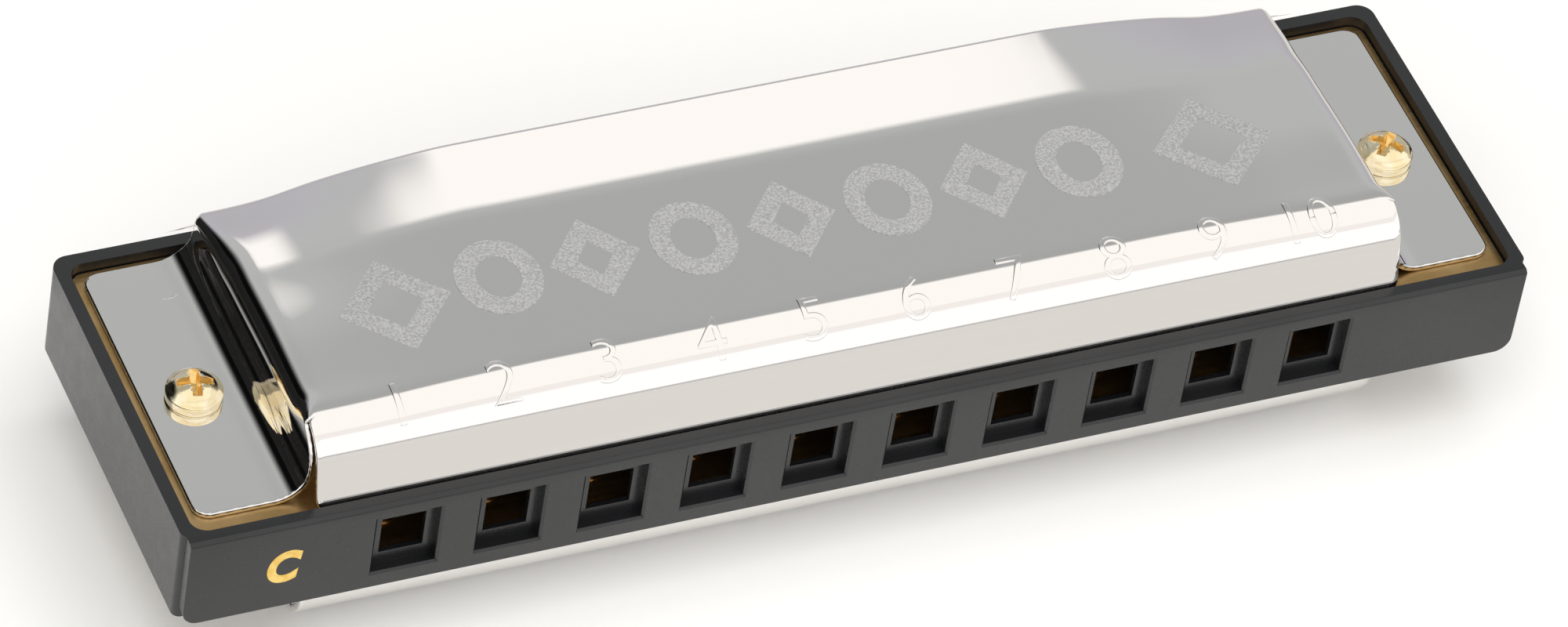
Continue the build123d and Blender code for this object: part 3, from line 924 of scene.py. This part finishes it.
hand_over(smoothed(mesh_object("hole_numbers", raised), 50), chrome, "cover_chrome")

KEY_SPOT = (-42.5, -0.05)
KEY_NARROWING, KEY_LOWERING = 0.78, 0.92
key_mesh = lettering("key", "C", 4.1, thicken=0.2, slant=0.16, thickness=0.01, edge=0.0)
key_mesh.transform(Matrix.Diagonal((KEY_NARROWING, KEY_LOWERING, 1.0, 1.0)))
key_mesh.transform(Matrix.Rotation(math.pi / 2, 4, "X"))
key_mesh.transform(Matrix.Scale(MM, 4))
key_mesh.transform(Matrix.Translation(place(KEY_SPOT[0], 0.002, KEY_SPOT[1])))
hand_over(smoothed(mesh_object("key_letter", key_mesh)), foil, "comb_plastic")

# ---------------------------------------------------------------- frosted band on the top cover

# Nine outlined lozenges and rings in a row, larger at both ends, laid on the cover.
MOTIFS = [
    (-31.0, 12.3, 3.8, 4.0, 4),
    (-23.4, 12.7, 3.1, 3.4, 48),
    (-16.4, 12.7, 3.1, 3.4, 4),
    (-9.2, 12.7, 3.1, 3.4, 48),
    (-2.0, 12.7, 3.1, 3.4, 4),
    (5.2, 12.7, 3.1, 3.4, 48),
    (12.4, 12.7, 3.1, 3.4, 4),
    (19.6, 12.7, 3.1, 3.4, 48),
    (29.6, 12.3, 4.4, 4.1, 4),
]
motif_sizes = {
    "Half width": "Float",
    "Half height": "Float",
    "Corners": "Int",
    "Divisions": "Int",
    "Stroke": "Float",
    "Relief": "Float",
    "Cover": "Object",
}
MOTIF_INSET = 0.8
MOTIF_RELIEF = 0.05
LOZENGE_STROKE, RING_STROKE = 2.0, 1.5
LOZENGE_DIVISIONS, RING_DIVISIONS = 4, 1
tree, given, motif_inputs = geometry_tree("frosted_motif", motif_sizes)
outline = add(
    tree, "GeometryNodeCurvePrimitiveCircle", {"Resolution": given["Corners"], "Radius": 1.0}
).outputs[0]
shape_of = add(
    tree, "ShaderNodeCombineXYZ", {0: given["Half width"], 1: given["Half height"], 2: 1.0}
).outputs[0]
outline = add(tree, "GeometryNodeTransform", {"Geometry": outline, "Scale": shape_of}).outputs[0]
outline = add(tree, "GeometryNodeSetCurveNormal", {0: outline}, mode="Z_UP").outputs[0]
slopes = add(tree, "ShaderNodeMath", {0: given["Relief"], 1: 3.0}, operation="MULTIPLY")
section = add(
    tree,
    "GeometryNodeCurvePrimitiveQuadrilateral",
    {
        "Height": given["Relief"],
        "Bottom Width": given["Stroke"],
        "Top Width": add(tree, "ShaderNodeMath", {0: given["Stroke"], 1: slopes}, operation="SUBTRACT"),
        "Offset": 0.0,
    },
    mode="TRAPEZOID",
).outputs[0]
frame_of = add(tree, "GeometryNodeCurveToMesh", {"Curve": outline, "Profile Curve": section}).outputs[0]
frame_of = add(tree, "GeometryNodeSubdivideMesh", {"Mesh": frame_of, "Level": given["Divisions"]}).outputs[0]
motifs = add(
    tree, "GeometryNodeInstanceOnPoints", {"Points": given["Geometry"], "Instance": frame_of}
).outputs[0]
motifs = add(tree, "GeometryNodeRealizeInstances", {"Geometry": motifs}).outputs[0]
cover_shape = add(tree, "GeometryNodeObjectInfo", {"Object": given["Cover"]}).outputs["Geometry"]
here = add(tree, "GeometryNodeInputPosition").outputs[0]
parts_here = add(tree, "ShaderNodeSeparateXYZ", {0: here}).outputs
above = add(tree, "ShaderNodeCombineXYZ", {0: parts_here[0], 1: parts_here[1], 2: 0.1}).outputs[0]
hit = add(
    tree,
    "GeometryNodeRaycast",
    {
        "Target Geometry": cover_shape,
        "Source Position": above,
        "Ray Direction": (0.0, 0.0, -1.0),
        "Ray Length": 1.0,
    },
).outputs["Hit Position"]
lift = add(tree, "ShaderNodeCombineXYZ", {2: parts_here[2]}).outputs[0]
landed = add(tree, "ShaderNodeVectorMath", {0: hit, 1: lift}, operation="ADD").outputs[0]
laid = add(tree, "GeometryNodeSetPosition", {"Geometry": motifs, "Position": landed}).outputs[0]
end_tree(tree, laid, frosted)
band = bmesh.new()
for x, depth, half_width, half_height, corners in MOTIFS:
    spot_here = place(x, depth, 0.0)
    motif = mesh_from("motif", [(spot_here.x, spot_here.y, 0.0)], [])
    ring = corners > 4
    values = {
        "Half width": (half_width - MOTIF_INSET) * MM,
        "Half height": (half_height - MOTIF_INSET) * MM,
        "Corners": corners,
        "Divisions": RING_DIVISIONS if ring else LOZENGE_DIVISIONS,
        "Stroke": (RING_STROKE if ring else LOZENGE_STROKE) * MM,
        "Relief": MOTIF_RELIEF * MM,
        "Cover": top_sheet,
    }
    run_tree(motif, tree, motif_inputs, values)
    band.from_mesh(motif.data)
    bpy.data.objects.remove(motif)
band_mesh = bpy.data.meshes.new("frosted_band")
band.to_mesh(band_mesh)
band.free()
hand_over(smoothed(mesh_object("frosted_band", band_mesh)), frosted, "cover_chrome")

# ---------------------------------------------------------------- studio

# Pale matt floor, with the faintest unevenness.
floor_paint, tree, shader = finish_named("matt_white_board", "#f1f1ef", 0.0, 0.75)
tone = ramp(tree, pattern(tree, 120.0), [(0.3, "#efefed"), (0.7, "#f3f3f1")])
tree.links.new(tone, shader.inputs["Base Color"])
FLOOR_HALF = 1.6
floor = mesh_from("floor", rectangle(-FLOOR_HALF, FLOOR_HALF, -FLOOR_HALF, FLOOR_HALF), [(0, 1, 2, 3)])
floor.data.materials.append(floor_paint)

# What the chrome plate takes from each reflection, the studio gives back.
STUDIO_STRENGTH = 1.15

# Soft boxes run along the instrument, so the studio's brightness goes by the angle about X,
# from 0 behind, through 90 overhead, to 180 in front. A dark flag stands behind to the left.
world = bpy.data.worlds.new("studio")
bpy.context.scene.world = world
world.use_nodes = True
tree = world.node_tree
tree.nodes.clear()
direction = add(tree, "ShaderNodeTexCoord").outputs["Generated"]
parts = add(tree, "ShaderNodeSeparateXYZ", {0: direction}).outputs
angle = add(tree, "ShaderNodeMath", {0: parts[2], 1: parts[1]}, operation="ARCTAN2")
share = add(tree, "ShaderNodeMath", {0: angle, 1: math.pi}, operation="DIVIDE")
FRONT_OF_STUDIO = [
    (52, "#a7a9a8"),
    (60, "#a3a4a4"),
    (70, "#a3a4a4"),
    (74, "#fbf8f4"),
    (125, "#fbf8f4"),
    (127, "#f0ebe8"),
    (136, "#f0ebe8"),
    (139, "#ffffff"),
    (177, "#ffffff"),
    (178.5, "#bcb8b5"),
    (180, "#bcb8b5"),
]
BEHIND_WITH_BOX = [(0, "#a9a8ad"), (24, "#b4b2b8"), (30, "#fbf8f5"), (41, "#fbf8f5"), (45, "#b2b4b3")]
BEHIND_BARE = [(0, "#a9a8ad"), (24, "#b2b1b7"), (34, "#b4b5b6"), (41, "#b2b4b3"), (45, "#b2b4b3")]


def by_angle(stops):
    return ramp(tree, share, [(degrees / 180, colour) for degrees, colour in stops], "LINEAR")


# The box behind ends softly at both sides.
box_left = add(tree, "ShaderNodeMapRange", {0: parts[0], 1: 0.18, 2: 0.26}, interpolation_type="SMOOTHSTEP")
box_right = add(tree, "ShaderNodeMapRange", {0: parts[0], 1: 0.42, 2: 0.37}, interpolation_type="SMOOTHSTEP")
in_box = add(tree, "ShaderNodeMath", {0: box_left, 1: box_right}, operation="MULTIPLY")
studio = add(
    tree,
    "ShaderNodeMix",
    {0: in_box, 6: by_angle(BEHIND_BARE + FRONT_OF_STUDIO), 7: by_angle(BEHIND_WITH_BOX + FRONT_OF_STUDIO)},
    data_type="RGBA",
).outputs[2]
flag_way = Vector((-0.72, 0.66, 0.2)).normalized()
compared = add(tree, "ShaderNodeVectorMath", {0: direction, 1: flag_way}, operation="DOT_PRODUCT")
towards_flag = compared.outputs["Value"]
in_flag = add(tree, "ShaderNodeMapRange", {0: towards_flag, 1: 0.8, 2: 0.96}, interpolation_type="SMOOTHSTEP")
with_flag = {0: in_flag, 6: studio, 7: paint("#0a0a0b")}
seen = add(tree, "ShaderNodeMix", with_flag, data_type="RGBA").outputs[2]
path = add(tree, "ShaderNodeLightPath").outputs
with_backdrop = {0: path["Is Camera Ray"], 6: seen, 7: paint("#fafaf9")}
shown = add(tree, "ShaderNodeMix", with_backdrop, data_type="RGBA").outputs[2]
sky = add(tree, "ShaderNodeBackground", {"Color": shown, "Strength": STUDIO_STRENGTH}).outputs[0]
add(tree, "ShaderNodeOutputWorld", {0: sky})

# The dark flag's card, curved round the left end and lying out on the floor. It is there for
# reflections only.
FLAG_MIDDLE = Vector((-0.04, 0.0, 0.0))
flag_outline = [(0.03, 0.0004), (0.09, 0.0004), (0.1, 0.004), (0.1, 0.045)]
flag_turns = np.radians(np.linspace(112, 166, 12))
flag_points = [
    FLAG_MIDDLE + Vector((radius * math.cos(turn), radius * math.sin(turn), height))
    for turn in flag_turns
    for radius, height in flag_outline
]
across = len(flag_outline)
flag_faces = [
    (row * across + k, row * across + k + 1, (row + 1) * across + k + 1, (row + 1) * across + k)
    for row in range(len(flag_turns) - 1)
    for k in range(across - 1)
]
flag_cloth, tree, shader = finish_named("black_flag_cloth", "#060606", 0.0, 0.9)
tone = ramp(tree, pattern(tree, 30.0), [(0.3, "#050505"), (0.7, "#080808")])
tree.links.new(tone, shader.inputs["Base Color"])
flag_card = mesh_from("flag_card", flag_points, flag_faces)
flag_card.data.materials.append(flag_cloth)

# A grey card lies on the floor all round, clear of the instrument. It tones down the floor in
# the chrome, and is there for reflections only.
CARD_INNER_X, CARD_FRONT, CARD_REAR = 0.065, -0.029, 0.03
CARD_REACH = 0.9
CARD_HEIGHT = 0.0002
card_corners = rectangle(-CARD_INNER_X, CARD_INNER_X, CARD_FRONT, CARD_REAR, CARD_HEIGHT)
card_corners += rectangle(-CARD_REACH, CARD_REACH, -CARD_REACH, CARD_REACH, CARD_HEIGHT)
card_board, tree, shader = finish_named("grey_floor_card", "#cbc9c6", 0.0, 0.8)
tone = ramp(tree, pattern(tree, 90.0), [(0.3, "#c9c7c4"), (0.7, "#cdcbc8")])
tree.links.new(tone, shader.inputs["Base Color"])
card_faces = [(k, 4 + k, 4 + (k + 1) % 4, (k + 1) % 4) for k in range(4)]
grey_card = mesh_from("grey_card", card_corners, card_faces)
grey_card.data.materials.append(card_board)
for card in (flag_card, grey_card):
    for kind in ("camera", "diffuse", "shadow", "transmission", "volume_scatter"):
        setattr(card, f"visible_{kind}", False)

# Two large soft lights lift the floor and the comb; the chrome mirrors only the studio.
for name, spot, size, power in (
    ("overhead_light", (0.0, -0.1, 0.9), 0.9, 4.1),
    ("front_light", (-0.5, -0.7, 0.6), 0.6, 0.9),
):
    lamp = bpy.data.lights.new(name, "AREA")
    lamp.size = size
    lamp.energy = power
    light = bpy.data.objects.new(name, lamp)
    bpy.context.scene.collection.objects.link(light)
    light.location = spot
    light.rotation_euler = (-Vector(spot)).to_track_quat("-Z", "Y").to_euler()
    light.visible_glossy = False
